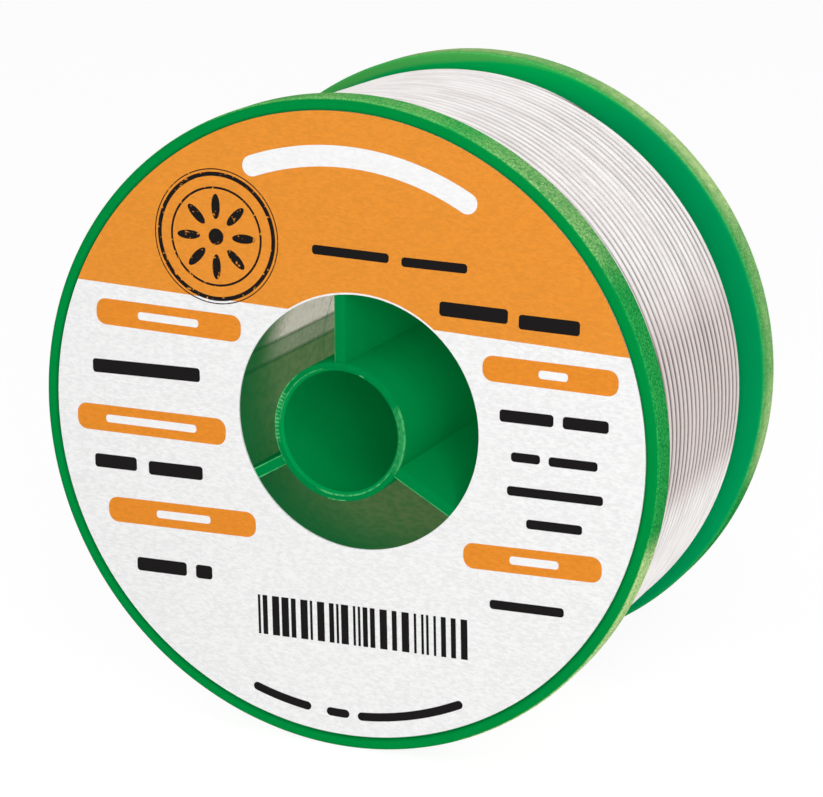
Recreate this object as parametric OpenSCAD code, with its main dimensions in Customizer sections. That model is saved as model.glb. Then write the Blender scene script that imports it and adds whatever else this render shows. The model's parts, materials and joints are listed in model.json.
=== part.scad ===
// Spool of solder wire: a moulded plastic spool with a ribbed hub, a round paper label and a full winding.
// Millimetres. The axle bore lies along Y, the labelled flange faces -Y, and the origin is the spool's centre.

/* [Spool] */
// Outside diameter of both flanges
flange_d = 60; // [48:1:90]
// Overall width, from one rim face to the other
spool_w = 34.5; // [24:0.5:60]
// Thickness of each flange
flange_t = 3.4; // [2:0.1:5]
// Rounding of the flanges' rim edges
rim_round = 0.4; // [0.1:0.1:0.8]
// Outside diameter of the barrel that the wire is wound on
barrel_d = 32; // [26:0.5:38]
// Wall thickness of the barrel
barrel_wall = 1.5; // [0.8:0.1:2.5]

/* [Hub] */
// Diameter of the axle bore
bore_d = 11.2; // [8:0.1:14]
// Wall thickness of the hub tube
hub_wall = 0.8; // [0.6:0.1:1.8]
// Chamfer at both mouths of the axle bore
bore_chamfer = 0.3; // [0.1:0.05:0.4]
// Thickness of the three ribs between the hub tube and the barrel
rib_t = 1; // [0.6:0.1:2]
// Angle of the first rib, seen from the labelled side, counted from the right
rib_angle = 90; // [60:5:120]

/* [Label] */
// Bare land of the rim outside the label's recess
rim_land = 1.1; // [0.8:0.1:2]
// Thickness of the label, and depth of the recess that takes it
label_t = 0.2; // [0.1:0.05:0.4]
// Clearance between the label's edge and its recess
label_clearance = 0.1; // [0.05:0.05:0.4]
// Diameter of the hole in the label
label_hole_d = 23.4; // [18:0.2:27]
// How far the hole in the label sits to the right of the axis
label_hole_dx = 1.75; // [-2:0.05:2]
// How far the hole in the label sits above the axis
label_hole_dz = 1; // [-1:0.05:1]

/* [Winding] */
// How far the winding lies below the rims
winding_depth = 1.1; // [0.6:0.1:6]
// Turns in the outer layer of wire
turns = 24; // [12:1:24]
// Gap between neighbouring turns of the outer layer
turn_gap = 0.44; // [0.42:0.02:0.6]
// Angle at which the outer layer's ends meet the flanges
wire_end_angle = 250; // [200:5:290]

/* [Hidden] */

$fn = 120;
// Radial clearance between pieces that nest in each other
seat_gap = 0.05;
// How far a cut reaches past the faces that it opens
over = 1;
// Angle from one rib to the next
rib_pitch = 120;

flange_r = flange_d / 2;
half_w = spool_w / 2;
winding_w = spool_w - 2 * flange_t;
barrel_r = barrel_d / 2;
barrel_bore_r = barrel_r - barrel_wall;
bore_r = bore_d / 2;
hub_r = bore_r + hub_wall;
recess_r = flange_r - rim_land;
label_r = recess_r - label_clearance;
label_hole_r = label_hole_d / 2;

// Outer layer: one tube on a cylinder. Its ends leave the flanges along the axis, for one tube diameter,
// and then turn into the winding on a small bend. end_run counts both ends' runs in tube diameters.
bend_share = 0.75;
end_run = 2 * (1 + bend_share);
turn_pitch = (winding_w + end_run * turn_gap) / (turns + end_run);
wire_d = turn_pitch - turn_gap;
wire_r = wire_d / 2;
bend_r = bend_share * wire_d;
layer_r = flange_r - winding_depth - wire_r;
// The tube's rings in each turn, its sides, and the steps in each of its end bends
loop_rings = 24;
ring_sides = 6;
bend_steps = 4;
// The core clears the straight stretches between the tube's rings, by layer_gap
layer_gap = 0.02;
core_r = (layer_r - wire_r) * cos(180 / loop_rings) - layer_gap;

// Degrees round the layer for a distance along it, and the climb for each degree
function degrees_of(distance) = distance / layer_r * 180 / PI;
first_loop_y = -winding_w / 2 + wire_d + bend_r;
climb = turn_pitch / 360;

// Points on the unrolled layer, as [degrees, y], from the front flange to the first loop
function end_points() = [
    [0, -winding_w / 2],
    for (step = [0 : bend_steps])
        let (turn = 90 * step / bend_steps)
        [degrees_of(bend_r * (1 - cos(turn))), first_loop_y - bend_r * (1 - sin(turn))]
];
function loop_points() = [
    for (ring = [1 : turns * loop_rings - 1])
        let (angle = ring * 360 / loop_rings)
        [angle, first_loop_y + angle * climb]
];
// The far end mirrors the near one
function far_end(points) = [
    for (i = [len(points) - 1 : -1 : 0]) [turns * 360 - points[i][0], -points[i][1]]
];
function on_layer(point) =
    let (angle = wire_end_angle + point[0])
    [layer_r * cos(angle), point[1], layer_r * sin(angle)];

unrolled = concat(end_points(), loop_points(), far_end(end_points()));
wire_path = [for (point = unrolled) on_layer(point)];
last_ring = len(wire_path) - 1;

// Least gap of the outer layer to itself, over all pairs of points at least half a loop apart
least_gap = min([
    for (i = [0 : last_ring - loop_rings / 2])
        min([for (j = [i + loop_rings / 2 : last_ring]) norm(wire_path[j] - wire_path[i])])
]) - wire_d;
echo("least gap of the outer layer to itself, mm", least_gap);
echo("outer layer: turn pitch and tube diameter, mm", turn_pitch, wire_d);

function unit(v) = v / norm(v);
// Direction of the tube at a ring
function heading(i) = unit(wire_path[min(i + 1, last_ring)] - wire_path[max(i - 1, 0)]);
// Outward direction from the axis, square to the tube
function outward(i) =
    let (away = [wire_path[i][0], 0, wire_path[i][2]], along = heading(i))
    unit(away - (away * along) * along);
function ring_points(i) =
    let (out = outward(i), side = cross(heading(i), out))
    [for (k = [0 : ring_sides - 1])
        let (angle = k * 360 / ring_sides)
        wire_path[i] + wire_r * (cos(angle) * out + sin(angle) * side)];

// Puts a shape made round Z onto the spool's axis, with its base at the given y
module on_axis(y) {
    translate([0, y, 0]) rotate([-90, 0, 0]) children();
}

// Plain tube on the spool's axis, centred on its width
module axis_tube(outer_r, inner_r, length) {
    on_axis(-length / 2)
        difference() {
            cylinder(r = outer_r, h = length);
            translate([0, 0, -over]) cylinder(r = inner_r, h = length + 2 * over);
        }
}

// Section of a flange, with its outer face at y = 0: rounded rim edges and a shallow recess for a label
module flange_section() {
    difference() {
        union() {
            translate([barrel_bore_r, 0]) square([flange_r - rim_round - barrel_bore_r, flange_t]);
            translate([barrel_bore_r, rim_round])
                square([flange_r - barrel_bore_r, flange_t - 2 * rim_round]);
            for (y = [rim_round, flange_t - rim_round])
                translate([flange_r - rim_round, y]) circle(r = rim_round, $fn = 32);
        }
        translate([barrel_bore_r - over, -over]) square([recess_r - barrel_bore_r + over, label_t + over]);
    }
}

module flange() {
    on_axis(-half_w) rotate_extrude() flange_section();
}

module front_flange() {
    color("seagreen") flange();
}

module rear_flange() {
    color("seagreen") mirror([0, 1, 0]) flange();
}

module barrel() {
    color("mediumseagreen") axis_tube(barrel_r, barrel_bore_r, winding_w);
}

module hub_tube() {
    mouth_r = bore_r + bore_chamfer;
    color("forestgreen")
        difference() {
            axis_tube(hub_r, bore_r, spool_w);
            on_axis(-half_w) cylinder(r1 = mouth_r, r2 = bore_r, h = bore_chamfer);
            on_axis(half_w - bore_chamfer) cylinder(r1 = bore_r, r2 = mouth_r, h = bore_chamfer);
        }
}

// One flat rib from the hub tube to the barrel, as long as the spool between its two recesses
module rib(angle) {
    length = spool_w - 2 * label_t;
    color("green")
        intersection() {
            axis_tube(barrel_bore_r - seat_gap, hub_r + seat_gap, length);
            rotate([0, -angle, 0])
                translate([0, -half_w, -rib_t / 2]) cube([barrel_bore_r, spool_w, rib_t]);
        }
}

module rib_top() {
    rib(rib_angle);
}

module rib_left() {
    rib(rib_angle + rib_pitch);
}

module rib_right() {
    rib(rib_angle + 2 * rib_pitch);
}

module front_label() {
    color("orange")
        difference() {
            on_axis(-half_w) cylinder(r = label_r, h = label_t);
            translate([label_hole_dx, 0, label_hole_dz])
                on_axis(-half_w - over) cylinder(r = label_hole_r, h = label_t + 2 * over);
        }
}

module solder_inner_layers() {
    color("silver") axis_tube(core_r, barrel_r + seat_gap, winding_w);
}

module solder_outer_layer() {
    points = [for (i = [0 : last_ring]) each ring_points(i)];
    sides = [
        for (i = [0 : last_ring - 1], k = [0 : ring_sides - 1])
            let (
                a = i * ring_sides + k,
                b = i * ring_sides + (k + 1) % ring_sides,
                c = a + ring_sides,
                d = b + ring_sides
            )
            each [[a, c, b], [b, c, d]]
    ];
    start_cap = [for (k = [1 : ring_sides - 2]) [0, k, k + 1]];
    end_base = last_ring * ring_sides;
    end_cap = [for (k = [1 : ring_sides - 2]) [end_base, end_base + k + 1, end_base + k]];
    color("lightgray") polyhedron(points = points, faces = concat(sides, start_cap, end_cap));
}

front_flange();
rear_flange();
barrel();
hub_tube();
rib_top();
rib_left();
rib_right();
front_label();
solder_inner_layers();
solder_outer_layer();
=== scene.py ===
"""Looks of a spool of solder wire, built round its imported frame.

Laid out as an add-on and run as a script: each operator builds one group of pieces, and main() runs
them in order. Lengths are in metres, in the frame's own axes: the spool's axle lies along Y, the
labelled flange faces -Y and Z points up.
"""

import json
import math
import random

import bmesh
import bpy
from bpy.props import FloatProperty, FloatVectorProperty, IntProperty, PointerProperty
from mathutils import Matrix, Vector, noise
from mathutils.geometry import tessellate_polygon


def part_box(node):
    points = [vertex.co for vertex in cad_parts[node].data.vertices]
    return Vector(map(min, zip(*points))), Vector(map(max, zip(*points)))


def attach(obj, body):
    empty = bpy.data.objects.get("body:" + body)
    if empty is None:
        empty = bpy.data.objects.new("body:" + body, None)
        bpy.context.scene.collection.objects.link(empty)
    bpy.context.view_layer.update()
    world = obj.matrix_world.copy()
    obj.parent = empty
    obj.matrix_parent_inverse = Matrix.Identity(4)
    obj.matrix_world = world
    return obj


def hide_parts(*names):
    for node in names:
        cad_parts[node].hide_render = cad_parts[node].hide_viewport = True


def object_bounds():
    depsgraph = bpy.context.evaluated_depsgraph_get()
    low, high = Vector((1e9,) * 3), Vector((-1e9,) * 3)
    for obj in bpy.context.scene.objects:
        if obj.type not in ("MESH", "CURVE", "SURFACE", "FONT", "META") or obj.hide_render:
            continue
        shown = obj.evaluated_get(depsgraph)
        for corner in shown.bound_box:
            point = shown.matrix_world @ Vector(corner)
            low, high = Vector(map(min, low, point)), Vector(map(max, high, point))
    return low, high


bl_info = {
    "name": "Solder wire spool",
    "version": (1, 0, 0),
    "blender": (4, 5, 0),
    "location": "3D View > Sidebar > Spool",
    "description": "Builds a moulded spool full of solder wire, with a round paper label",
    "category": "Add Mesh",
}

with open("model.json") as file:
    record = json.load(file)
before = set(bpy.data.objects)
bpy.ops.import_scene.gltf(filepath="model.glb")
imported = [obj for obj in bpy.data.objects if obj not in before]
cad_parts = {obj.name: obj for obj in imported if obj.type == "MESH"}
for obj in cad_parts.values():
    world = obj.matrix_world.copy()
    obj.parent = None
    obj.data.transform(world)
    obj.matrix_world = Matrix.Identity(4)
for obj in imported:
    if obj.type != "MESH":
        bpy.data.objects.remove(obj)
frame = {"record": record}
CAD_LOW, CAD_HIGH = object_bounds()

MM = 0.001


def mm(*lengths):
    """Lengths given in millimetres."""
    return tuple(value * MM for value in lengths)


ROOT = "root"
PLASTIC_SLOT = "spool_plastic"
PAPER_SLOT = "label_paper"
SOLDER_SLOT = "solder"

# Sizes that the frame already holds
FACE_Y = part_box("front_flange")[0].y
FLANGE_BACK_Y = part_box("front_flange")[1].y
RIM_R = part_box("front_flange")[1].x
INNER_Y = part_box("rear_flange")[0].y
BARREL_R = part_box("barrel")[1].x
HUB_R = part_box("hub_tube")[1].x
RIB_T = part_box("rib_top")[1].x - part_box("rib_top")[0].x
LABEL_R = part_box("front_label")[1].x
LABEL_BACK_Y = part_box("front_label")[1].y
WINDING_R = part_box("solder_outer_layer")[1].z
FLOOR_Z = CAD_LOW.z
BORE_R = next(m for m in frame["record"]["mounts"] if m["name"] == "axle_bore")["dims"]["r_mm"] * MM

ROUND_STEPS = 256
# Each rib's angle in degrees, and the strengths of the painted highlight lines along its two open edges
RIBS = {"rib_top": (90, (0.4, 0)), "rib_left": (210, (0.8, 0.7)), "rib_right": (330, (0, 0.85))}


# ---- settings


def length(name, description, millimetres):
    """A length in the panel, given in millimetres."""
    return FloatProperty(name=name, description=description, default=millimetres * MM, unit="LENGTH")


def tint(name, description, rgb):
    """A colour in the panel."""
    return FloatVectorProperty(name=name, description=description, subtype="COLOR", size=3,
                               min=0, max=1, default=rgb)


def angle(name, description, degrees):
    """An angle in the panel, given in degrees."""
    return FloatProperty(name=name, description=description, default=math.radians(degrees),
                         subtype="ANGLE")


class PlasticSettings(bpy.types.PropertyGroup):
    """Sizes and colours of the moulded spool."""

    rim_round: length("Rim rounding", "Radius of the flanges' rim edges", 0.4)
    edge_round: length("Edge rounding", "Radius of the hub's and ribs' open edges", 0.1)
    barrel_wall: length("Barrel wall", "Wall thickness of the barrel", 1.5)
    bore_chamfer: length("Bore chamfer", "Chamfer at both mouths of the axle bore", 0.3)
    rim_land: length("Rim land", "Bare land outside the label's recess", 1.1)
    colour: tint("Plastic", "Colour of the outer faces", (0.0004, 0.250, 0.048))
    inner: tint("Inner faces", "Colour of the faces beside the wire", (0.0002, 0.318, 0.098))
    # Painted light from above on the inner faces' top
    inner_lit_top: tint("Inner faces' top", "The same at the top", (0.0002, 0.385, 0.080))
    shade: tint("Plastic in the hub", "Colour of the hub tube and the ribs", (0.0004, 0.242, 0.058))
    # Painted glow of light through the thin edge of the inner faces
    painted_edge_glow: tint("Thin edge", "Brighter tone of the inner faces towards the rim", (0.060, 0.40, 0.080))
    rim: tint("Rim", "Colour of the rims' outer face where it isn't rubbed", (0.0125, 0.410, 0.080))
    # Painted light from above on the rims' top
    rim_lit_top: tint("Rim's top", "The same at the top of the rims", (0.0125, 0.60, 0.10))
    # Pale frosted tone, used for the rims' rubs and for their painted highlights
    worn: tint("Worn rim", "Colour of the rims where they are rubbed pale", (0.72, 0.97, 0.41))
    # Painted highlights along the hub's and ribs' edges
    edge_highlight: tint("Light edges", "Colour of the light lines along the hub's edges", (0.11, 0.52, 0.18))
    tinted: tint("Barrel", "Colour of the barrel, with the wire behind it", (0.004, 0.150, 0.042))
    olive: tint("Barrel's olive", "Second tone of the barrel", (0.15, 0.235, 0.092))
    lit_rear: tint("Barrel's rear", "Tone of the barrel near its open rear", (1.0, 0.82, 0.78))
    # Share of painted glow, as emission, in the hub and the barrel
    painted_glow: FloatProperty(name="Translucence", description="Share of light through the hub",
                                default=0.2, min=0, max=1)


class WindingSettings(bpy.types.PropertyGroup):
    """Sizes and colours of the wire."""

    turns: IntProperty(name="Turns", description="Turns of wire in the outer layer", default=22, min=3)
    rear_gap: length("Rear gap", "Width between the outer layer's last turn and the rear flange", 3.45)
    gap_layers: IntProperty(name="Gap layers", description="Layers that the rear gap is deep", default=2)
    spacing: length("Spacing", "Gap between neighbouring turns", 0.03)
    waver: length("Waver", "How far a turn strays from its line", 0.035)
    step_start: angle("Step start", "Where each turn starts to step to the next", 251)
    step_sweep: angle("Step sweep", "Angle that the step to the next turn takes", 46)
    tail: angle("Tail", "Angle that the last, part turn takes before it has sunk in the rear gap", 167)
    seed: IntProperty(name="Seed", description="Seed of the turns' waver", default=7)
    wire: tint("Wire", "Colour of the drawn solder", (0.98, 0.945, 0.93))
    shaded: tint("Shaded wire", "Colour of the stretch that faces sideways", (0.80, 0.70, 0.68))
    dull: tint("Dull wire", "Colour of the duller stretches", (0.82, 0.77, 0.755))
    # Painted shade down between the turns
    groove_shade: tint("Grooves", "Colour of the wire down between two turns", (0.055, 0.036, 0.035))


class LabelSettings(bpy.types.PropertyGroup):
    """Sizes and colours of the paper label."""

    hole_r: length("Hole radius", "Radius of the hole in the label", 11.7)
    hole_x: length("Hole to the right", "How far the hole sits to the right of the axis", 1.75)
    hole_z: length("Hole upwards", "How far the hole sits above the axis", 1.0)
    hole_margin: length("Hole margin", "Unprinted edge round the hole", 0.17)
    shift_x: length("Label to the right", "How far the label sits to the right in its recess", 0.03)
    shift_z: length("Label upwards", "How far the label sits high in its recess", 0.07)
    ink_relief: length("Ink relief", "How far the ink stands above the paper", 0.012)
    paper: tint("Paper", "Colour of the bare paper", (0.88, 0.88, 0.88))
    field: tint("Printed field", "Colour of the large printed field", (0.80, 0.285, 0.033))
    pill: tint("Pills", "Colour of the blank heading pills", (0.80, 0.265, 0.024))
    ink: tint("Ink", "Colour of the dark print", (0.006, 0.005, 0.005))


class StageSettings(bpy.types.PropertyGroup):
    """Camera, floor and lights."""

    azimuth: angle("Azimuth", "Camera's angle to the right of the labelled face", 23.55)
    elevation: angle("Elevation", "Camera's angle above the floor", 14.84)
    distance: length("Distance", "From the camera to the point it aims at", 269.85)
    aim: FloatVectorProperty(name="Aim", description="Point that the camera aims at", size=3,
                             unit="LENGTH", default=mm(-0.77, 0.73, -1.33))
    lens: FloatProperty(name="Lens", description="Focal length in millimetres", default=124.2)
    key_power: FloatProperty(name="Key light", description="Power in watts", default=0.9)
    front_power: FloatProperty(name="Front light", description="Power in watts", default=1.95)
    fill_power: FloatProperty(name="Fill light", description="Power in watts", default=0.4)
    ambient: FloatProperty(name="Ambient", description="Strength of the soft surround", default=0.3)


SETTINGS = {
    "spool_plastic": PlasticSettings,
    "spool_winding": WindingSettings,
    "spool_label": LabelSettings,
    "spool_stage": StageSettings,
}


# ---- meshes


def make_piece(name, vertices, faces, material, slot, *nodes, smooth_angle=35):
    """Makes a mesh piece that rides on the spool and stands for the given nodes."""
    mesh = bpy.data.meshes.new(name)
    mesh.from_pydata(vertices, [], faces)
    tidy = bmesh.new()
    tidy.from_mesh(mesh)
    bmesh.ops.recalc_face_normals(tidy, faces=tidy.faces)
    tidy.to_mesh(mesh)
    tidy.free()
    mesh.shade_smooth()
    mesh.set_sharp_from_angle(angle=math.radians(smooth_angle))
    mesh.materials.append(material)
    piece = bpy.data.objects.new(name, mesh)
    bpy.context.scene.collection.objects.link(piece)
    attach(piece, ROOT)
    if nodes:
        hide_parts(*nodes)
    return piece


def arc(centre, radius, start, end, steps):
    """Points of a circular arc in a plane, with angles in degrees."""
    points = []
    for i in range(steps + 1):
        turn = math.radians(start + (end - start) * i / steps)
        points.append((centre[0] + radius * math.cos(turn), centre[1] + radius * math.sin(turn)))
    return points


def ring_faces(rings, count, closed=True):
    """Faces between neighbouring rings of count vertices each."""
    faces = []
    for i in range(rings if closed else rings - 1):
        here, there = i * count, (i + 1) % rings * count
        for k in range(count):
            after = (k + 1) % count
            faces.append((here + k, here + after, there + after, there + k))
    return faces


def revolve(profile, steps=ROUND_STEPS):
    """Vertices and faces of a closed profile of (radius, y) points turned round the axle."""
    vertices = []
    for i in range(steps):
        turn = 2 * math.pi * i / steps
        for radius, y in profile:
            vertices.append((radius * math.cos(turn), y, radius * math.sin(turn)))
    return vertices, ring_faces(steps, len(profile))


def barrel_bore():
    """Radius of the barrel's bore, and of the openings in the flanges."""
    return BARREL_R - bpy.context.scene.spool_plastic.barrel_wall


def mirrored(profile):
    """The same profile at the other end of the spool."""
    return [(radius, -y) for radius, y in profile]


def plates(outlines, front_y, back_y):
    """Vertices and faces of flat plates with the given (x, z) outlines."""
    vertices, faces = [], []
    for outline in outlines:
        base, count = len(vertices), len(outline)
        vertices += [(x, y, z) for y in (front_y, back_y) for x, z in outline]
        for a, b, c in tessellate_polygon([[Vector((x, z, 0)) for x, z in outline]]):
            faces.append((base + a, base + b, base + c))
            faces.append((base + count + c, base + count + b, base + count + a))
        for k in range(count):
            here, after = base + k, base + (k + 1) % count
            faces.append((here, here + count, after + count, after))
    return vertices, faces


def polar(degrees, radius_mm):
    """The x and z of a point round the axle, seen from the labelled side, in metres."""
    turn = math.radians(degrees)
    return radius_mm * MM * math.cos(turn), radius_mm * MM * math.sin(turn)


def placed(outline, x, z, degrees=0.0):
    """An outline in millimetres, turned, moved to (x, z) and given in metres."""
    cosine, sine = math.cos(math.radians(degrees)), math.sin(math.radians(degrees))
    return [((x + u * cosine - v * sine) * MM, (z + u * sine + v * cosine) * MM) for u, v in outline]


def bar(x, z, width, height, degrees=0.0, corner=0.3, steps=5):
    """Outline of a bar with round corners, in millimetres, centred on (x, z) and turned."""
    corner = min(corner, width / 2 - 0.001, height / 2 - 0.001)
    outline = []
    for start, sx, sz in ((0, 1, 1), (90, -1, 1), (180, -1, -1), (270, 1, -1)):
        centre = (sx * (width / 2 - corner), sz * (height / 2 - corner))
        outline += arc(centre, corner, start, start + 90, steps)
    return placed(outline, x, z, degrees)


def ring_part(inner, outer, start, end, steps=48):
    """Outline of a curved bar round the axle with round ends, in millimetres and degrees."""
    middle, half = (inner + outer) / 2, (outer - inner) / 2 * MM
    outline = arc((0, 0), outer * MM, start, end, steps)
    outline += arc(polar(end, middle), half, end, end + 180, 10)[1:-1]
    outline += arc((0, 0), inner * MM, end, start, steps)
    outline += arc(polar(start, middle), half, start + 180, start + 360, 10)[1:-1]
    return outline


# ---- materials


# Sockets of the mix node that carry colours
MIX_FIRST, MIX_SECOND, MIX_RESULT = 6, 7, 2
# Most of a noise texture lies between these
NOISE_SPAN = (0.34, 0.66)
# A curved band's soft edges in millimetres, and how much of its half width is full
BAND_EDGE, BAND_FULL = 0.03, 0.8


def connect(tree, value, socket):
    """Sets a socket to a value, or links it to an output."""
    if isinstance(value, bpy.types.NodeSocket):
        tree.links.new(value, socket)
    else:
        socket.default_value = value


def calculated(tree, operation, a, b):
    """One operation on two values."""
    node = tree.nodes.new("ShaderNodeMath")
    node.operation = operation
    connect(tree, a, node.inputs[0])
    connect(tree, b, node.inputs[1])
    return node.outputs[0]


class Shader:
    """A material's node tree, with short calls for what these finishes need."""

    def __init__(self, name, roughness, sheen=0.5):
        self.material = bpy.data.materials.new(name)
        self.material.use_nodes = True
        self.tree = self.material.node_tree
        self.nodes = self.tree.nodes
        self.surface = self.nodes["Principled BSDF"]
        self.surface.inputs["Roughness"].default_value = roughness
        self.surface.inputs["Specular IOR Level"].default_value = sheen
        self.place = self.nodes.new("ShaderNodeTexCoord").outputs["Object"]
        split = self.nodes.new("ShaderNodeSeparateXYZ")
        self.link(self.place, split.inputs[0])
        self.x, self.y, self.z = split.outputs

    def link(self, value, socket):
        """Sets a socket to a value, or links it to an output."""
        connect(self.tree, value, socket)

    def grain(self, size, detail=3.0, stretch=(1, 1, 1), roughness=0.5):
        """Noise from 0 to 1, whose grains are about size metres across."""
        mapping = self.nodes.new("ShaderNodeMapping")
        mapping.inputs["Scale"].default_value = [1 / (size * s) for s in stretch]
        self.link(self.place, mapping.inputs["Vector"])
        texture = self.nodes.new("ShaderNodeTexNoise")
        texture.inputs["Scale"].default_value = 1
        texture.inputs["Detail"].default_value = detail
        texture.inputs["Roughness"].default_value = roughness
        self.link(mapping.outputs["Vector"], texture.inputs["Vector"])
        return texture.outputs["Fac"]

    def between(self, value, low, high, first=0.0, last=1.0):
        """Maps low..high to first..last, and holds it there outside."""
        node = self.nodes.new("ShaderNodeMapRange")
        node.interpolation_type = "SMOOTHSTEP"
        self.link(value, node.inputs["Value"])
        for name, number in (("From Min", low), ("From Max", high), ("To Min", first), ("To Max", last)):
            node.inputs[name].default_value = number
        return node.outputs["Result"]

    def math(self, operation, a, b=0.0):
        """One operation on one or two values."""
        return calculated(self.tree, operation, a, b)

    def mix(self, amount, first, second):
        """Mixes two colours."""
        node = self.nodes.new("ShaderNodeMix")
        node.data_type = "RGBA"
        self.link(amount, node.inputs["Factor"])
        for value, socket in ((first, MIX_FIRST), (second, MIX_SECOND)):
            plain = not isinstance(value, bpy.types.NodeSocket)
            self.link((*value, 1) if plain else value, node.inputs[socket])
        return node.outputs[MIX_RESULT]

    def product(self, *values):
        """All the values multiplied."""
        total = values[0]
        for value in values[1:]:
            total = self.math("MULTIPLY", total, value)
        return total

    def length(self, a, b):
        """Length of the line with these two sides."""
        return self.math("SQRT", self.math("ADD", self.product(a, a), self.product(b, b)))

    def radius(self):
        """Distance from the axle."""
        return self.length(self.x, self.z)

    def toward(self, degrees):
        """How far a point lies from the axle towards an angle, seen from the labelled side."""
        turn = math.radians(degrees)
        across = self.product(self.x, math.cos(turn))
        return self.math("ADD", across, self.product(self.z, math.sin(turn)))

    def near(self, x, z, reach, softness=0.5):
        """1 close to a line along Y through (x, z), and 0 past its reach."""
        away = self.length(self.math("SUBTRACT", self.x, x), self.math("SUBTRACT", self.z, z))
        return self.between(away, reach * (1 - softness), reach, 1, 0)

    def arc(self, degrees, half_width, inner_mm, outer_mm):
        """1 on a curved band round the axle, with soft ends."""
        radius = self.radius()
        cosine = self.math("DIVIDE", self.toward(degrees), radius)
        edge, core = (math.cos(math.radians(half_width * share)) for share in (1, BAND_FULL))
        line = self.product(self.between(radius, (inner_mm - BAND_EDGE) * MM, inner_mm * MM),
                            self.between(radius, outer_mm * MM, (outer_mm + BAND_EDGE) * MM, 1, 0))
        return self.product(line, self.between(cosine, edge, core))

    def colour(self, value):
        """Sets the surface's colour."""
        self.link(value, self.surface.inputs["Base Color"])

    def glow(self, value, share):
        """Adds a painted glow, as emission, that stands in for light through thin plastic, as a share of
        a colour.
        """
        self.link(value, self.surface.inputs["Emission Color"])
        self.surface.inputs["Emission Strength"].default_value = share

    def bump(self, height, depth, strength=1.0):
        """Raises the surface by up to depth metres where height is 1."""
        node = self.nodes.new("ShaderNodeBump")
        node.inputs["Distance"].default_value = depth
        node.inputs["Strength"].default_value = strength
        self.link(height, node.inputs["Height"])
        self.link(node.outputs["Normal"], self.surface.inputs["Normal"])


def toned(rgb, share):
    """A colour at a share of its strength."""
    return tuple(channel * share for channel in rgb)


# Heights above the axle between which the inner faces and the rims turn to their tones with painted light
# from above
INNER_LIT_TOP, RIM_LIT_TOP = mm(23, 29.5), (22 * MM, RIM_R)
# The inner faces' painted edge glow: places to the right between which it narrows, and by how much
EDGE_NARROWS, EDGE_STEP = mm(-4, 12), 0.9 * MM
# Depth of the rim's tone, inwards from the rim
RIM_DEPTH = 0.2 * MM
# Wear of the rear rim: places along the axle between which it sets in, heights between which it fades in
# from below as painted light from above, and its strength
WEAR_PLACES, WEAR_LIT_HEIGHTS, WEAR = (INNER_Y - 0.7 * MM, INNER_Y + 2.2 * MM), mm(-13, -6), 0.3
# Share of pale dust on every rim
DUST = 0.035
# Rim marks: the three small ones are rubs, the broad rest painted highlights. Flange: the labelled one
# (-1) or the other (1), angle in degrees, radius and reach in millimetres, softness of the edge, and
# strength
RIM_RUBS_AND_HIGHLIGHTS = [
    (-1, 164.7, 29.4, 0.9, 0.5, 0.6),
    (-1, -150.8, 29.1, 1.2, 0.5, 0.4),
    (-1, -104.5, 29.8, 1.8, 0.5, 0.7),
    (-1, -40, 30.0, 15.0, 0.28, 0.92),
    (-1, 50, 30.0, 11, 0.6, 0.30),
    (-1, 82, 30.0, 9, 0.6, 0.18),
    (-1, 102, 30.0, 8, 0.5, 0.22),
    (1, 48, 30.0, 12, 0.7, 0.40),
    (1, -10, 30.0, 6.5, 0.6, 0.25),
    (1, 72, 30.0, 9, 0.7, 0.10),
    (1, 94, 30.0, 9, 0.6, 0.28),
]


def flat_tone(shader, cloud, radius):
    """Tone of the flanges' flat outer faces, with a painted shadow along the lip of the label's recess.
    """
    look = bpy.context.scene.spool_plastic
    lip_r = RIM_R - look.rim_land
    # Painted shadow of the recess's wall along the lip
    lip = shader.product(shader.between(radius, lip_r - 0.05 * MM, lip_r),
                         shader.between(radius, lip_r + 0.08 * MM, lip_r + 0.3 * MM, 0.6, 0))
    flat = shader.mix(cloud, toned(look.colour, 0.93), toned(look.colour, 1.05))
    return shader.mix(lip, flat, toned(look.colour, 0.6))


def inner_tone(shader, cloud, radius):
    """Tone of the flanges' faces beside the wire, with painted light at the top and a painted glow
    towards the rim.
    """
    look = bpy.context.scene.spool_plastic
    inner = shader.mix(cloud, toned(look.inner, 0.95), toned(look.inner, 1.04))
    # Painted light from above on the inner faces' top
    inner = shader.mix(shader.between(shader.z, *INNER_LIT_TOP), inner, look.inner_lit_top)
    # Painted edge glow, wider on the left and narrower on the right
    lifted = shader.between(shader.x, *EDGE_NARROWS, EDGE_STEP, 0)
    wide = shader.between(shader.math("ADD", radius, lifted), RIM_R - 0.3 * MM, RIM_R + 0.2 * MM)
    return shader.mix(wide, inner, look.painted_edge_glow)


def rim_wear_and_highlights(shader, grit):
    """How pale the rims are: their dust, the rear rim's even wear with painted light from above, and the
    small rubs and broad painted highlights.
    """
    growth = shader.between(shader.y, *WEAR_PLACES, 0, 1.15)
    # Painted light from above: the rear rim's pale fades out towards the bottom
    worn = shader.product(growth, shader.between(shader.z, *WEAR_LIT_HEIGHTS, 0, WEAR))
    worn = shader.math("ADD", worn, shader.product(grit, DUST))
    # Small marks are rubs, broad ones painted highlights
    for side, turn, place_r, reach, softness, strength in RIM_RUBS_AND_HIGHLIGHTS:
        pale_spot = shader.near(*polar(turn, place_r), reach * MM, softness)
        pale_spot = shader.product(pale_spot, shader.between(shader.y, 0, side * MM, 0, strength))
        if side > 0:
            pale_spot = shader.product(pale_spot, growth)
        worn = shader.math("ADD", worn, pale_spot)
    return worn


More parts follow.
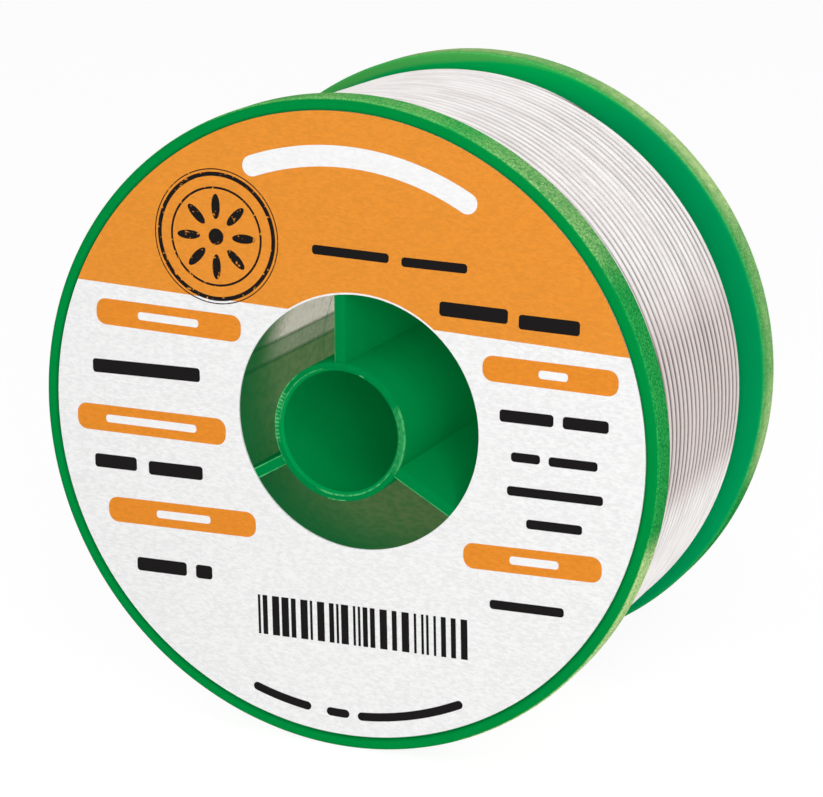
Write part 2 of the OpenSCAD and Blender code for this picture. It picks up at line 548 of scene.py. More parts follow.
def rim_tone(shader):
    """Tone of the rims: gritty where they are clean, lighter at the top with painted light, mottled and
    pale where they are worn and where highlights are painted.
    """
    look = bpy.context.scene.spool_plastic
    dust = shader.grain(0.2 * MM, 2)
    grit = shader.between(dust, 0.38, 0.62)
    mottle = shader.between(shader.grain(0.9 * MM, 4), *NOISE_SPAN, 0.82, 1.18)
    contrast = shader.between(shader.y, 0, MM, 0.5, 0.2)
    specks = shader.product(contrast, shader.between(dust, 0.4, 0.6, -1, 1))
    specks = shader.math("ADD", specks, 1)
    clean = shader.mix(grit, toned(look.rim, 0.74), toned(look.rim, 1.18))
    # Painted light from above on the rims' top
    top = shader.mix(grit, toned(look.rim_lit_top, 0.80), toned(look.rim_lit_top, 1.05))
    clean = shader.mix(shader.between(shader.z, *RIM_LIT_TOP), clean, top)
    return shader.mix(shader.product(rim_wear_and_highlights(shader, grit), mottle, specks), clean, look.worn)


def plastic_finish():
    """Moulded plastic: even on the flat faces, frosted and speckled round the rims, with painted light,
    shadow and highlights.
    """
    shader = Shader("moulded_plastic", 0.5, 0)
    radius = shader.radius()
    cloud = shader.grain(6 * MM, 2)
    from_middle = shader.math("ABSOLUTE", shader.y)
    inside = shader.between(from_middle, INNER_Y + 0.2 * MM, INNER_Y + 1.2 * MM, 1, 0)
    flat = shader.mix(inside, flat_tone(shader, cloud, radius), inner_tone(shader, cloud, radius))
    rim = shader.between(radius, RIM_R - RIM_DEPTH, RIM_R)
    shader.colour(shader.mix(rim, flat, rim_tone(shader)))
    shader.bump(shader.grain(0.25 * MM, 3), 0.02 * MM, 0.35)
    return shader.material


def hub_shader(name, front_y):
    """Plastic of the hub: its shader, its colour with painted shade on its open front faces, and the
    depth below that front.
    """
    look = bpy.context.scene.spool_plastic
    shader = Shader(name, 0.42, 0)
    cloud = shader.grain(5 * MM, 2)
    body = shader.mix(cloud, toned(look.shade, 0.90), toned(look.shade, 1.06))
    depth = shader.math("SUBTRACT", -front_y, shader.math("ABSOLUTE", shader.y))
    # Painted shade on the open front faces
    face = shader.between(depth, 0, look.edge_round, 0.5, 0)
    body = shader.mix(face, body, toned(look.shade, 0.5))
    shader.bump(shader.grain(0.35 * MM, 3), 0.02 * MM, 0.4)
    return shader, body, depth


# The painted highlight lines along a rib's open edges: inner and full place across, in from its side, and
# depths below its front between which they fade
LINE_ACROSS, LINE_DEPTHS = mm(0.13, 0.08), mm(0.14, 0.22)


def rib_finish(name, degrees, edges):
    """Plastic of a rib, with painted highlight lines of the given strengths along its two open edges."""
    look = bpy.context.scene.spool_plastic
    shader, body, depth = hub_shader(name, LABEL_BACK_Y)
    across = shader.toward(degrees + 90)
    broken = shader.between(shader.grain(1.1 * MM, 3), 0.34, 0.6, 0.35, 1)
    inner, full = (RIB_T / 2 - inset for inset in LINE_ACROSS)
    for side, strength in zip((1, -1), edges):
        # Painted highlight along each open edge
        line = shader.between(shader.product(across, side), inner, full)
        line = shader.product(line, shader.between(depth, *LINE_DEPTHS, strength, 0))
        body = shader.mix(shader.product(line, broken), body, look.edge_highlight)
    shader.colour(body)
    shader.glow(body, look.painted_glow)
    return shader.material


# Depths below the hub tube's front between which its painted highlights fade
HIGHLIGHT_DEPTHS = mm(0.22, 0.32)
# Painted highlights on the end of the hub tube: middle angle and half width in degrees, inner and outer
# radius in millimetres, strength, and ticks in a whole circle, or 0 for a broken line
RING_HIGHLIGHTS = [
    (172, 45, 6.31, 6.45, 0.75, 0),
    (172, 24, 5.95, 6.45, 0.75, 108),
    (140, 38, 5.84, 5.92, 0.45, 0),
    (290, 44, 5.82, 5.92, 0.7, 0),
    (268, 9, 6.29, 6.42, 0.7, 0),
    (-2, 31, 5.80, 6.45, 0.42, 400),
    (-2, 31, 6.33, 6.45, 0.5, 0),
    (-2, 31, 5.80, 5.90, 0.4, 0),
    (68, 2.4, 5.64, 5.84, 0.9, 0),
]


def tube_finish():
    """Plastic of the hub tube, with painted highlights round its front: ticks, broad bands and broken
    lines.
    """
    look = bpy.context.scene.spool_plastic
    shader, body, depth = hub_shader("hub_plastic", FACE_Y)
    front = shader.product(shader.between(depth, *HIGHLIGHT_DEPTHS, 1, 0),
                           shader.between(shader.y, 0, FACE_Y))
    turn = shader.math("ARCTAN2", shader.z, shader.x)
    broken = shader.between(shader.grain(0.45 * MM, 3), 0.38, 0.58, 0.3, 1)
    for degrees, half_width, inner, outer, strength, ticks in RING_HIGHLIGHTS:
        pattern = broken
        if ticks:
            wave = shader.math("SINE", shader.product(turn, ticks))
            pattern = shader.product(shader.between(wave, -0.3, 0.7, 0.15, 1), broken)
        # Painted highlight on the tube's front
        mark = shader.product(shader.arc(degrees, half_width, inner, outer), pattern, front, strength)
        body = shader.mix(mark, body, look.edge_highlight)
    shader.colour(body)
    shader.glow(body, look.painted_glow)
    return shader.material


# Faint dark lines on the barrel's bore: angles in degrees of two along it, and the place along the axle
# of one round it
BORE_LINES = (166.1, 174.0)
BORE_RING = 10.2 * MM
# Places along the axle, and to the right of it, between which the barrel turns olive
OLIVE_ALONG, OLIVE_RIGHT = mm(-9, 5), mm(-5, 5)
# The pale patch near its open rear: places along the axle between which it sets in, angle in degrees
# and reach, and what is left of it past the first and the second mould line
PALE_ALONG, PALE_ANGLE, PALE_REACH = mm(-5, 2), 153, 14 * MM
PALE_LEFT = (0.25, 0.12)
# Painted glow of the thin barrel, as emission, against that of the hub
BARREL_GLOW = 2.2


def pale_patch(shader):
    """The light from the open rear on the barrel, dimmer past each of the two dark lines."""
    bore = barrel_bore()
    patch = shader.near(*polar(PALE_ANGLE, bore / MM), PALE_REACH, 0.3)
    patch = shader.product(patch, shader.between(shader.y, *PALE_ALONG))
    for turn, left in zip(BORE_LINES, PALE_LEFT):
        line_z = bore * math.sin(math.radians(turn))
        step = shader.between(shader.z, line_z - 0.1 * MM, line_z + 0.1 * MM, left, 1)
        patch = shader.product(patch, step)
    speckle = shader.between(shader.grain(0.4 * MM, 3), 0.36, 0.64, 0.7, 1)
    return shader.product(patch, speckle)


def barrel_finish():
    """Thin plastic with the dull wire behind it, paler where light comes in from the open rear."""
    look = bpy.context.scene.spool_plastic
    shader = Shader("barrel_plastic", 0.5, 0)
    cloud = shader.between(shader.grain(0.7 * MM, 4, (1, 1.4, 1)), *NOISE_SPAN, 0.6, 0.95)
    deep = shader.math("MAXIMUM", shader.between(shader.y, *OLIVE_ALONG, 0.1, 1),
                       shader.between(shader.x, *OLIVE_RIGHT, 0, 0.95))
    body = shader.mix(shader.product(cloud, deep), look.tinted, look.olive)
    body = shader.mix(pale_patch(shader), body, look.lit_rear)
    for turn in BORE_LINES:
        line = shader.product(shader.near(*polar(turn, barrel_bore() / MM), 0.28 * MM), 0.45)
        body = shader.mix(line, body, toned(look.tinted, 0.6))
    ring = shader.math("ABSOLUTE", shader.math("SUBTRACT", shader.y, BORE_RING))
    ring = shader.product(shader.between(ring, 0.1 * MM, 0.35 * MM, 0.3, 0),
                          shader.between(shader.z, -MM, 0))
    body = shader.mix(ring, body, look.tinted)
    shader.colour(body)
    shader.glow(body, BARREL_GLOW * look.painted_glow)
    shader.bump(shader.grain(0.6 * MM, 3), 0.03 * MM, 0.3)
    return shader.material


# The stretch of the winding that faces sideways, given painted shade: heights between which it sets in
# and fades
SIDE_FOOT, SIDE_TOP = mm(-9, -4), mm(7, 15)
# Depths below the winding's surface of the painted shade in the grooves, and of its wider rim on that
# stretch
GROOVE_DEPTHS, WIDE_DEPTHS = mm(0.32, 0.09), mm(0.26, 0.05)
# Heights between which the painted shade in the grooves gets fainter, towards the bottom and towards the
# top
FAINT_BELOW, FAINT_ABOVE = mm(-12, -6), mm(25, 28.5)


def groove_shade_mask(shader, sideways):
    """Share of painted shade: 1 down between two turns, and 0 on top of them."""
    radius = shader.radius()
    low, high = (WINDING_R - depth for depth in GROOVE_DEPTHS)
    groove_shade = shader.between(radius, low, high, 1, 0)
    low, high = (WINDING_R - depth for depth in WIDE_DEPTHS)
    wide = shader.product(shader.between(radius, low, high, 1, 0), sideways)
    # Painted groove shade, fainter towards the bottom and the top
    shade_fade = shader.product(shader.between(shader.z, *FAINT_BELOW, 0.75, 1),
                          shader.between(shader.z, *FAINT_ABOVE, 1, 0.5))
    return shader.product(shader.math("MAXIMUM", groove_shade, wide), shade_fade)


def wire_finish():
    """Drawn solder: satin metal with fine draw lines and duller stretches, with painted shade between the
    turns and on the stretch that faces sideways.
    """
    look = bpy.context.scene.spool_winding
    shader = Shader("drawn_solder", 0.34)
    shader.surface.inputs["Metallic"].default_value = 0.75
    dull = shader.between(shader.grain(5 * MM, 3, (1, 0.25, 1)), 0.35, 0.75)
    body = shader.mix(dull, look.wire, look.dull)
    sideways = shader.product(shader.between(shader.z, *SIDE_FOOT),
                              shader.between(shader.z, *SIDE_TOP, 0.9, 0))
    # Painted shade on the stretch that faces sideways
    body = shader.mix(sideways, body, look.shaded)
    shader.colour(shader.mix(groove_shade_mask(shader, sideways), body, look.groove_shade))
    fine = shader.grain(0.6 * MM, 3, (1, 0.12, 1))
    shader.link(shader.between(fine, 0.25, 0.75, 0.28, 0.42), shader.surface.inputs["Roughness"])
    shader.bump(fine, 0.006 * MM, 0.3)
    return shader.material


def paper_finish(name, rgb, relief=1.0, chipped=None):
    """Embossed label paper, bare or under ink, whose coat can be chipped to show another colour."""
    shader = Shader(name, 0.62, 0.08)
    tooth = shader.grain(0.30 * MM, 3, (1.7, 1, 0.8), 0.6)
    hills = shader.between(tooth, *NOISE_SPAN)
    body = shader.mix(hills, toned(rgb, 1 - 0.09 * relief), rgb)
    if chipped is not None:
        chips = shader.between(shader.grain(0.4 * MM, 4), 0.60, 0.66)
        body = shader.mix(shader.product(chips, 0.85), body, chipped)
    shader.colour(body)
    shader.bump(tooth, 0.09 * MM, relief)
    return shader.material


# ---- pieces


# Small roundings at the edge of the label's recess, and how far a seam stays clear of the next piece
RECESS_FILLET, LIP_ROUND, SEAM = mm(0.05, 0.06, 0.01)


def flange_profile():
    """Section of the front flange: rounded rim, bare land with a rounded lip, shallow recess."""
    look = bpy.context.scene.spool_plastic
    rounding = look.rim_round
    recess_r = RIM_R - look.rim_land
    rim_centre = RIM_R - rounding
    profile = [(barrel_bore(), LABEL_BACK_Y), (recess_r - RECESS_FILLET, LABEL_BACK_Y)]
    profile.append((recess_r, LABEL_BACK_Y - RECESS_FILLET))
    profile += arc((recess_r + LIP_ROUND, FACE_Y + LIP_ROUND), LIP_ROUND, 180, 270, 4)
    profile += arc((rim_centre, FACE_Y + rounding), rounding, -90, 0, 8)
    profile += arc((rim_centre, FLANGE_BACK_Y - rounding), rounding, 0, 90, 8)
    profile.append((BARREL_R - SEAM, FLANGE_BACK_Y))
    profile.append((barrel_bore(), FLANGE_BACK_Y))
    return profile


class SPOOL_OT_flanges(bpy.types.Operator):
    """Build the two moulded flanges with their rounded rims"""

    bl_idname = "spool.flanges"
    bl_label = "Flanges"

    def execute(self, context):
        finish = plastic_finish()
        for name, profile in (("front_flange", flange_profile()),
                              ("rear_flange", mirrored(flange_profile()))):
            make_piece("moulded_" + name, *revolve(profile), finish, PLASTIC_SLOT, name)
        return {"FINISHED"}


def hub_profile():
    """Section of the hub tube: rounded outer edges and chamfered bore mouths."""
    look = bpy.context.scene.spool_plastic
    edge, chamfer = look.edge_round, look.bore_chamfer
    half = [(BORE_R, FACE_Y + chamfer), (BORE_R + chamfer, FACE_Y)]
    half += arc((HUB_R - edge, FACE_Y + edge), edge, -90, 0, 4)
    return half + mirrored(half)[::-1]


# How far a rib runs into the tubes at its ends
RIB_ROOT = 0.2 * MM


def rib_mesh(degrees):
    """A flat rib with rounded open edges, from the hub tube to the barrel."""
    look = bpy.context.scene.spool_plastic
    edge = look.edge_round
    half_t, front = RIB_T / 2, LABEL_BACK_Y
    section = arc((half_t - edge, front + edge), edge, 0, -90, 3)
    section += [(-across, y) for across, y in reversed(section)]
    section += mirrored(section)[::-1]
    reach = (HUB_R - RIB_ROOT, barrel_bore() + RIB_ROOT)
    turn = math.radians(degrees)
    out = Vector((math.cos(turn), 0, math.sin(turn)))
    side = Vector((-math.sin(turn), 0, math.cos(turn)))
    vertices = []
    for radius in reach:
        vertices += [tuple(out * radius + side * across + Vector((0, y, 0))) for across, y in section]
    count = len(section)
    caps = [tuple(range(count)), tuple(reversed(range(count, 2 * count)))]
    return vertices, caps + ring_faces(2, count, closed=False)


class SPOOL_OT_hub(bpy.types.Operator):
    """Build the barrel, the hub tube and the three ribs between them"""

    bl_idname = "spool.hub"
    bl_label = "Hub"

    def execute(self, context):
        bore = barrel_bore()
        wall = [(bore, FLANGE_BACK_Y), (BARREL_R, FLANGE_BACK_Y), (BARREL_R, INNER_Y), (bore, INNER_Y)]
        make_piece("thin_barrel", *revolve(wall), barrel_finish(), PLASTIC_SLOT, "barrel")
        make_piece("bored_hub_tube", *revolve(hub_profile()), tube_finish(), PLASTIC_SLOT, "hub_tube")
        for name, (degrees, edges) in RIBS.items():
            finish = rib_finish(name + "_plastic", degrees, edges)
            make_piece("moulded_" + name, *rib_mesh(degrees), finish, PLASTIC_SLOT, name)
        return {"FINISHED"}


def layer_pitch():
    """Width that each turn of the outer layer takes."""
    look = bpy.context.scene.spool_winding
    return (INNER_Y - FLANGE_BACK_Y - look.rear_gap) / look.turns


# How far the wire's ends sink, in turn widths, and how far its waver keeps it below the surface
END_SINK = 1.1
LEAST_DROP = 0.6
# Pace at which the wire strays sideways and lifts: round the spool, and from turn to turn
STRAY_PACE, LIFT_PACE = (1.3, 0.9), (2, 1.7)


def smooth_noise(turn_angle, turn, pace, seed):
    """Noise that changes gently along the wire, from about -1 to 1."""
    across, up = math.cos(turn_angle) * pace[0], math.sin(turn_angle) * pace[0]
    return noise.noise(Vector((across, up, turn * pace[1] + seed)))


def winding_path(rings_per_turn=180):
    """Centre line of the outer layer: level turns that each step aside within a short stretch."""
    look = bpy.context.scene.spool_winding
    pitch = layer_pitch()
    radius = WINDING_R - pitch / 2
    first_y = FLANGE_BACK_Y + pitch / 2
    sink = pitch * END_SINK
    points = []
    circle = 2 * math.pi
    total = round((look.turns + look.tail / circle) * rings_per_turn)
    sweep_rings = round(look.step_sweep / circle * rings_per_turn)
    for i in range(total + 1):
        turn, ring = divmod(i, rings_per_turn)
        turn_angle = look.step_start - look.step_sweep - circle * ring / rings_per_turn
        into_step = max(0.0, ring - (rings_per_turn - sweep_rings)) / sweep_rings
        step = into_step * into_step * (3 - 2 * into_step)
        y = first_y + pitch * (turn + step)
        y += look.waver * smooth_noise(turn_angle, turn, STRAY_PACE, look.seed)
        lift = smooth_noise(turn_angle, turn, LIFT_PACE, -look.seed)
        rise = radius + look.waver * (lift - LEAST_DROP)
        ends = min(i, total - i) / sweep_rings
        if ends < 1:
            rise -= sink * (1 - ends) ** 2
        points.append((rise * math.cos(turn_angle), y, rise * math.sin(turn_angle)))
    return points


def sweep_tube(path, radius, sides=12):
    """Vertices and faces of a closed round tube along a path that circles the axle."""
    points = [Vector(p) for p in path]
    vertices = []
    for i, here in enumerate(points):
        heading = (points[min(i + 1, len(points) - 1)] - points[max(i - 1, 0)]).normalized()
        away = Vector((here.x, 0, here.z))
        out = (away - away.dot(heading) * heading).normalized()
        side = heading.cross(out)
        for k in range(sides):
            turn = 2 * math.pi * k / sides
            vertices.append(tuple(here + radius * (math.cos(turn) * out + math.sin(turn) * side)))
    caps = [tuple(range(sides)), tuple(reversed(range(len(vertices) - sides, len(vertices))))]
    return vertices, caps + ring_faces(len(points), sides, closed=False)


# Height of a layer above the one that it nests on, as a share of the wire's width, and how far round
# from its top each ridge of it is modelled, in degrees
NEST, RIDGE_HALF = math.cos(math.radians(30)), 75


def ridge(layers_down, centre_y, pitch, steps=8):
    """Top of one turn, the given number of layers below the outer one, as (radius, y) points."""
    centre_r = WINDING_R - pitch / 2 - layers_down * NEST * pitch
    return arc((centre_r, centre_y), pitch / 2, -RIDGE_HALF, RIDGE_HALF, steps)


def under_layer_profile():
    """Section of the wire below the outer layer: one round ridge for each turn, on a drum."""
    look = bpy.context.scene.spool_winding
    pitch = layer_pitch()
    gap_r = WINDING_R - pitch - look.gap_layers * NEST * pitch
    profile = [(BARREL_R, INNER_Y), (BARREL_R, FLANGE_BACK_Y), (gap_r, FLANGE_BACK_Y)]
    for turn in range(look.turns):
        profile += ridge(1, FLANGE_BACK_Y + pitch * (turn + 1), pitch)
    for turn in range(int(look.rear_gap / pitch)):
        profile += ridge(look.gap_layers, FLANGE_BACK_Y + pitch * (look.turns + turn + 0.5), pitch)
    profile.append((gap_r, INNER_Y))
    return profile


class SPOOL_OT_winding(bpy.types.Operator):
    """Wind the outer layer of wire over the layer below it"""

    bl_idname = "spool.winding"
    bl_label = "Winding"

    def execute(self, context):
        look = context.scene.spool_winding
        finish = wire_finish()
        tube = sweep_tube(winding_path(), (layer_pitch() - look.spacing) / 2)
        make_piece("wound_wire", *tube, finish, SOLDER_SLOT, "solder_outer_layer", smooth_angle=60)
        below = revolve(under_layer_profile())
        make_piece("wound_layers_below", *below, finish, SOLDER_SLOT, "solder_inner_layers")
        return {"FINISHED"}


# How far ink lies behind the rim's land, how far the coloured fields lie behind other ink, and how far
# ink runs into the paper
INK_BEHIND, FIELD_BEHIND, INK_ROOT = mm(0.008, 0.006, 0.01)


def paper_front():
    """Where the paper's face lies: behind the rim's land by the ink's relief and a hair."""
    return FACE_Y + bpy.context.scene.spool_label.ink_relief + INK_BEHIND


class SPOOL_OT_label(bpy.types.Operator):
    """Build the round paper label with its hole"""

    bl_idname = "spool.label"
    bl_label = "Label"

    def execute(self, context):
        look = context.scene.spool_label
        hole = arc((look.hole_x, look.hole_z), look.hole_r, 0, 360, ROUND_STEPS)[:-1]
        rim = arc((look.shift_x, look.shift_z), LABEL_R, 0, 360, ROUND_STEPS)[:-1]
        front, back = paper_front(), LABEL_BACK_Y
        vertices = []
        for (hx, hz), (rx, rz) in zip(hole, rim):
            vertices += [(hx, front, hz), (rx, front, rz), (rx, back, rz), (hx, back, hz)]
        finish = paper_finish("label_paper", look.paper)
        faces = ring_faces(ROUND_STEPS, 4)
        make_piece("paper_label", vertices, faces, finish, PAPER_SLOT, "front_label")
        return {"FINISHED"}


# Middle of the stamp, and the radii of its rings, in millimetres
STAMP = (-11.98, 16.8)
STAMP_RINGS = [(4.35, 4.55), (5.5, 5.88), (6.08, 6.18)]
# The motif in it: petals' distance from the middle, half length and half width, and the dot's radius
PETAL_OUT, PETAL_HALF, PETAL_SIDE, DOT_R = 2.75, 1.15, 0.42, 0.75

# Print on the label, in millimetres from the axle: x, z, width, height and degrees
DIVIDER_LEFT, DIVIDER_RIGHT = (-26.6, 11.72), (28.9, 9.45)
PILLS = [
    (-17.05, 8.70, 14.8, 2.45, -1.7),
    (-19.06, -1.28, 15.4, 2.5, -0.2),
    (-16.08, -9.88, 15.3, 2.4, 0.8),
    (20.02, 7.24, 12.5, 2.3, -1.2),
    (18.55, -9.80, 13.0, 2.35, 0.9),
]
# White mark on each pill: width, and how far it sits right of the pill's middle
PILL_MARKS = [(6.2, 0.0), (9.4, 0.0), (5.6, 0.2), (2.7, 0.3), (4.6, 0.2)]
PILL_CORNER, PILL_MARK_HEIGHT = 0.95, 0.75
BOLD_BARS = [
    (-19.45, 3.75, 11.1, 1.3, 0.6),
    (-22.85, -5.40, 4.4, 1.3, 0.4),
    (-16.60, -5.50, 5.6, 1.3, 0.6),
    (-18.25, -14.97, 5.2, 1.3, 0.8),
    (-13.85, -14.95, 1.7, 1.3, 0.8),
    (12.90, 12.15, 6.4, 1.3, -1.5),
    (19.90, 11.68, 5.6, 1.3, -1.3),
    (17.90, 3.24, 5.0, 1.1, -0.2),
    (23.35, 3.20, 4.2, 1.1, -0.2),
]
FINE_BARS = [
    (1.20, 16.35, 7.4, 0.85, -1.8),
    (9.20, 16.00, 6.2, 0.85, -1.0),
    (17.85, -0.38, 2.7, 0.85, 0.0),
    (22.25, -0.42, 4.5, 0.85, 0.0),
    (20.60, -3.45, 8.9, 0.85, 0.3),
    (20.58, -6.30, 5.2, 0.85, 0.4),
    (18.10, -14.10, 7.0, 0.85, 0.8),
]
# Curved bars, in millimetres and degrees: inner and outer radius, start and end angle
WHITE_ARC = (23.95, 25.85, 60.5, 109.5)
FOOT_ARCS = [(26.3, 27.1, -108.5, -97.3), (26.3, 27.1, -92.2, -89.0), (26.4, 27.2, -85.5, -64.2)]


def arc_above(centre, radius, offset, tilt, steps):
    """Part of a circle above a tilted line that passes the axle at the given offset."""
    above_centre = offset - (centre[1] * math.cos(tilt) - centre[0] * math.sin(tilt))
    half = math.degrees(math.acos(above_centre / radius))
    middle = 90 + math.degrees(tilt)
    return arc(centre, radius, middle - half, middle + half, steps)


def field_outline(look):
    """The printed field: the label above the divider, less a margin round the hole."""
    (x0, z0), (x1, z1) = DIVIDER_LEFT, DIVIDER_RIGHT
    slope = (z1 - z0) / (x1 - x0)
    tilt = math.atan(slope)
    offset = (z0 - slope * x0) * MM * math.cos(tilt)
    rim = arc_above((look.shift_x, look.shift_z), LABEL_R, offset, tilt, 160)
    hole = arc_above((look.hole_x, look.hole_z), look.hole_r + look.hole_margin, offset, tilt, 96)
    return rim + hole[::-1]


# The stripes: left and right ends, height under the axle, height, narrowest width and tilt in degrees
STRIPES_LEFT, STRIPES_RIGHT, STRIPES_Z = -8.3, 12.5, -18.08
STRIPE_HEIGHT, STRIPE_WIDTH, STRIPES_TILT = 3.77, 0.24, 1.1


def striped_bars(seed=3):
    """A plain row of stripes of mixed widths, which says nothing."""
    draw = random.Random(seed)
    stripes = []
    x = STRIPES_LEFT
    while x < STRIPES_RIGHT:
        width = min(STRIPE_WIDTH * draw.choice((1, 1, 2, 2, 3)), STRIPES_RIGHT - x)
        middle = x + width / 2
        z = STRIPES_Z + math.tan(math.radians(STRIPES_TILT)) * middle
        stripes.append(bar(middle, z, width, STRIPE_HEIGHT, STRIPES_TILT, 0.01, 1))
        x += width + STRIPE_WIDTH * draw.choice((1, 1, 2, 2))
    return stripes


def rosette(petals=8):
    """A plain round motif: petals round a dot, in the middle of the stamp."""
    petal = [(PETAL_OUT + PETAL_HALF * u, PETAL_SIDE * v) for u, v in arc((0, 0), 1, 0, 360, 24)[:-1]]
    dot = arc((0, 0), DOT_R, 0, 360, 32)[:-1]
    return [placed(petal, *STAMP, 360 * k / petals) for k in range(petals)] + [placed(dot, *STAMP)]


def stamp_ring(inner, outer, front_y, back_y):
    """Vertices and faces of a flat ring round the stamp's middle, with radii in millimetres."""
    (inner_r, outer_r), (cx, cz) = mm(inner, outer), mm(*STAMP)
    profile = [(inner_r, front_y), (outer_r, front_y), (outer_r, back_y), (inner_r, back_y)]
    vertices, faces = revolve(profile, 96)
    return [(cx + x, y, cz + z) for x, y, z in vertices], faces


class SPOOL_OT_print(bpy.types.Operator):
    """Print the label: a coloured field, blank pills and plain bars"""

    bl_idname = "spool.print"
    bl_label = "Label print"

    def execute(self, context):
        look = context.scene.spool_label
        front, back = paper_front() - look.ink_relief, paper_front() + INK_ROOT
        field = paper_finish("field_print", look.field)
        pill = paper_finish("pill_print", look.pill)
        white = paper_finish("white_print", look.paper, 0.6)
        ink = paper_finish("dark_print", look.ink, 0.3)
        field_front = front + FIELD_BEHIND

        def lay(name, outlines, material, y=front):
            make_piece(name, *plates(outlines, y, back), material, PAPER_SLOT)

        lay("print_field", [field_outline(look)], field, field_front)
        lay("print_pills", [bar(*place, corner=PILL_CORNER) for place in PILLS], pill, field_front)
        marks = []
        for (x, z, _, _, degrees), (width, shift) in zip(PILLS, PILL_MARKS):
            marks.append(bar(x + shift, z, width, PILL_MARK_HEIGHT, degrees))
        lay("print_pill_marks", marks, white)
        lay("print_white_arc", [ring_part(*WHITE_ARC)], white)
        lay("print_bold_bars", [bar(*place) for place in BOLD_BARS], ink)
        lay("print_fine_bars", [bar(*place) for place in FINE_BARS], ink)
        lay("print_foot_bars", [ring_part(*place, 16) for place in FOOT_ARCS], ink)
        lay("print_stripes", striped_bars(), ink)
        worn = paper_finish("stamp_print", look.ink, 0.3, chipped=look.field)
        lay("print_rosette", rosette(), worn)
        for number, (inner, outer) in enumerate(STAMP_RINGS):
            ring = stamp_ring(inner, outer, front, back)
            make_piece(f"print_stamp_ring_{number + 1}", *ring, worn, PAPER_SLOT)
        return {"FINISHED"}


# ---- stage


def mix_seen(tree, lit, seen, share, output):
    """Shows a share of the second shader to camera, glossy and transmission rays."""
    rays = tree.nodes.new("ShaderNodeLightPath").outputs
    total = rays["Is Camera Ray"]
    for name in ("Is Glossy Ray", "Is Transmission Ray"):
        total = calculated(tree, "MAXIMUM", total, rays[name])
    mix = tree.nodes.new("ShaderNodeMixShader")
    connect(tree, calculated(tree, "MULTIPLY", total, share), mix.inputs["Fac"])
    connect(tree, lit.outputs[0], mix.inputs[1])
    connect(tree, seen.outputs[0], mix.inputs[2])
    connect(tree, mix.outputs[0], tree.nodes[output].inputs["Surface"])


def white_surround(ambient):
    """A world that is white to look at and softer as a light."""
    world = bpy.data.worlds.new("soft_surround")
    world.use_nodes = True
    nodes = world.node_tree.nodes
    seen, lit = nodes["Background"], nodes.new("ShaderNodeBackground")
    for light, strength in ((seen, 1), (lit, ambient)):
        light.inputs["Color"].default_value = (1, 1, 1, 1)
        light.inputs["Strength"].default_value = strength
    mix_seen(world.node_tree, lit, seen, 1, "World Output")
    bpy.context.scene.world = world


# The floor: how far it reaches in metres, its squares along a side and its white, and the strength and
# share of the white that hides its edge
FLOOR_REACH, FLOOR_SQUARES, FLOOR_WHITE = 4.0, 8, 0.9
FLOOR_GLOW, FLOOR_GLOW_SHARE = 1.12, 0.8


def floor_finish():
    """Matt white that takes a shadow, lifted towards the background's white where it is seen."""
    material = bpy.data.materials.new("pale_floor")
    material.use_nodes = True
    nodes = material.node_tree.nodes
    matt = nodes["Principled BSDF"]
    matt.inputs["Base Color"].default_value = (FLOOR_WHITE, FLOOR_WHITE, FLOOR_WHITE, 1)
    matt.inputs["Roughness"].default_value = 0.9
    glow = nodes.new("ShaderNodeEmission")
    glow.inputs["Color"].default_value = (1, 1, 1, 1)
    glow.inputs["Strength"].default_value = FLOOR_GLOW
    mix_seen(material.node_tree, matt, glow, FLOOR_GLOW_SHARE, "Material Output")
    return material


def pale_floor():
    """A white floor that keeps the spool's soft shadow."""
    places = [FLOOR_REACH * (2 * i / FLOOR_SQUARES - 1) for i in range(FLOOR_SQUARES + 1)]
    vertices = [(x, y, FLOOR_Z) for x in places for y in places]
    row = len(places)
    faces = []
    for i in range(FLOOR_SQUARES):
        for a in range(i * row, i * row + FLOOR_SQUARES):
            faces.append((a, a + 1, a + row + 1, a + row))
    mesh = bpy.data.meshes.new("pale_floor")
    mesh.from_pydata(vertices, [], faces)
    mesh.materials.append(floor_finish())
    floor = bpy.data.objects.new("pale_floor", mesh)
    bpy.context.scene.collection.objects.link(floor)


# The camera's sensor in its own millimetres, and the nearest place that it sees
SENSOR_WIDTH, NEAREST_SEEN = 36, 10 * MM
# Each light's place and the side of its square, in metres
LIGHTS = {
    "key": ((0.28, -0.40, 0.52), 0.35),
    "front": ((0.26, -0.52, 0.16), 0.30),
    "fill": ((-0.55, -0.45, 0.25), 0.45),
}


def soft_light(name, place, size, power):
    """A square area light that faces the spool."""
    lamp = bpy.data.lights.new(name, "AREA")
    lamp.shape = "SQUARE"
    lamp.size = size
    lamp.energy = power
    light = bpy.data.objects.new(name, lamp)
    light.location = place
    light.rotation_euler = (-Vector(place)).to_track_quat("-Z", "Y").to_euler()
    bpy.context.scene.collection.objects.link(light)


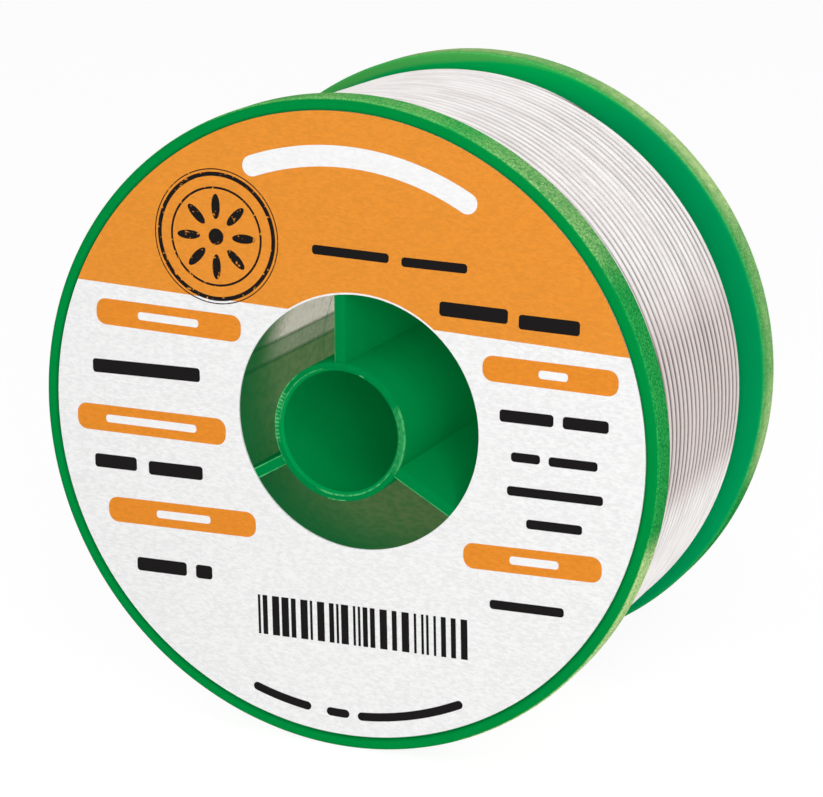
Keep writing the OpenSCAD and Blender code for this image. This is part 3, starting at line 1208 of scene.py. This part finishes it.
class SPOOL_OT_stage(bpy.types.Operator):
    """Set the camera, the floor, the surround and the lights"""

    bl_idname = "spool.stage"
    bl_label = "Stage"

    def execute(self, context):
        look = context.scene.spool_stage
        view = Vector((-math.sin(look.azimuth) * math.cos(look.elevation),
                       math.cos(look.azimuth) * math.cos(look.elevation),
                       -math.sin(look.elevation)))
        lens = bpy.data.cameras.new("camera")
        lens.lens = look.lens
        lens.sensor_width = SENSOR_WIDTH
        lens.sensor_fit = "HORIZONTAL"
        lens.clip_start = NEAREST_SEEN
        camera = bpy.data.objects.new("camera", lens)
        camera.location = Vector(look.aim) - view * look.distance
        camera.rotation_euler = view.to_track_quat("-Z", "Y").to_euler()
        context.scene.collection.objects.link(camera)
        context.scene.camera = camera
        white_surround(look.ambient)
        pale_floor()
        for name, (place, size) in LIGHTS.items():
            soft_light(name + "_light", place, size, getattr(look, name + "_power"))
        context.scene.view_settings.view_transform = "Standard"
        return {"FINISHED"}


OPERATORS = [SPOOL_OT_stage, SPOOL_OT_flanges, SPOOL_OT_hub, SPOOL_OT_winding, SPOOL_OT_label,
             SPOOL_OT_print]


class SPOOL_PT_panel(bpy.types.Panel):
    """Lists the operators and their settings"""

    bl_idname = "SPOOL_PT_panel"
    bl_label = "Solder wire spool"
    bl_space_type = "VIEW_3D"
    bl_region_type = "UI"
    bl_category = "Spool"

    def draw(self, context):
        for operator in OPERATORS:
            self.layout.operator(operator.bl_idname)
        for name, group in SETTINGS.items():
            box = self.layout.box()
            for prop in group.__annotations__:
                box.prop(getattr(context.scene, name), prop)


def register():
    """Registers the settings, the operators and the panel."""
    for name, group in SETTINGS.items():
        bpy.utils.register_class(group)
        setattr(bpy.types.Scene, name, PointerProperty(type=group))
    for operator in OPERATORS:
        bpy.utils.register_class(operator)
    bpy.utils.register_class(SPOOL_PT_panel)


def unregister():
    """Takes everything off again."""
    bpy.utils.unregister_class(SPOOL_PT_panel)
    for operator in reversed(OPERATORS):
        bpy.utils.unregister_class(operator)
    for name, group in SETTINGS.items():
        delattr(bpy.types.Scene, name)
        bpy.utils.unregister_class(group)


def main():
    """Builds the whole spool and its stage."""
    register()
    bpy.ops.spool.stage()
    bpy.ops.spool.flanges()
    bpy.ops.spool.hub()
    bpy.ops.spool.winding()
    bpy.ops.spool.label()
    bpy.ops.spool.print()


if __name__ == "__main__":
    main()
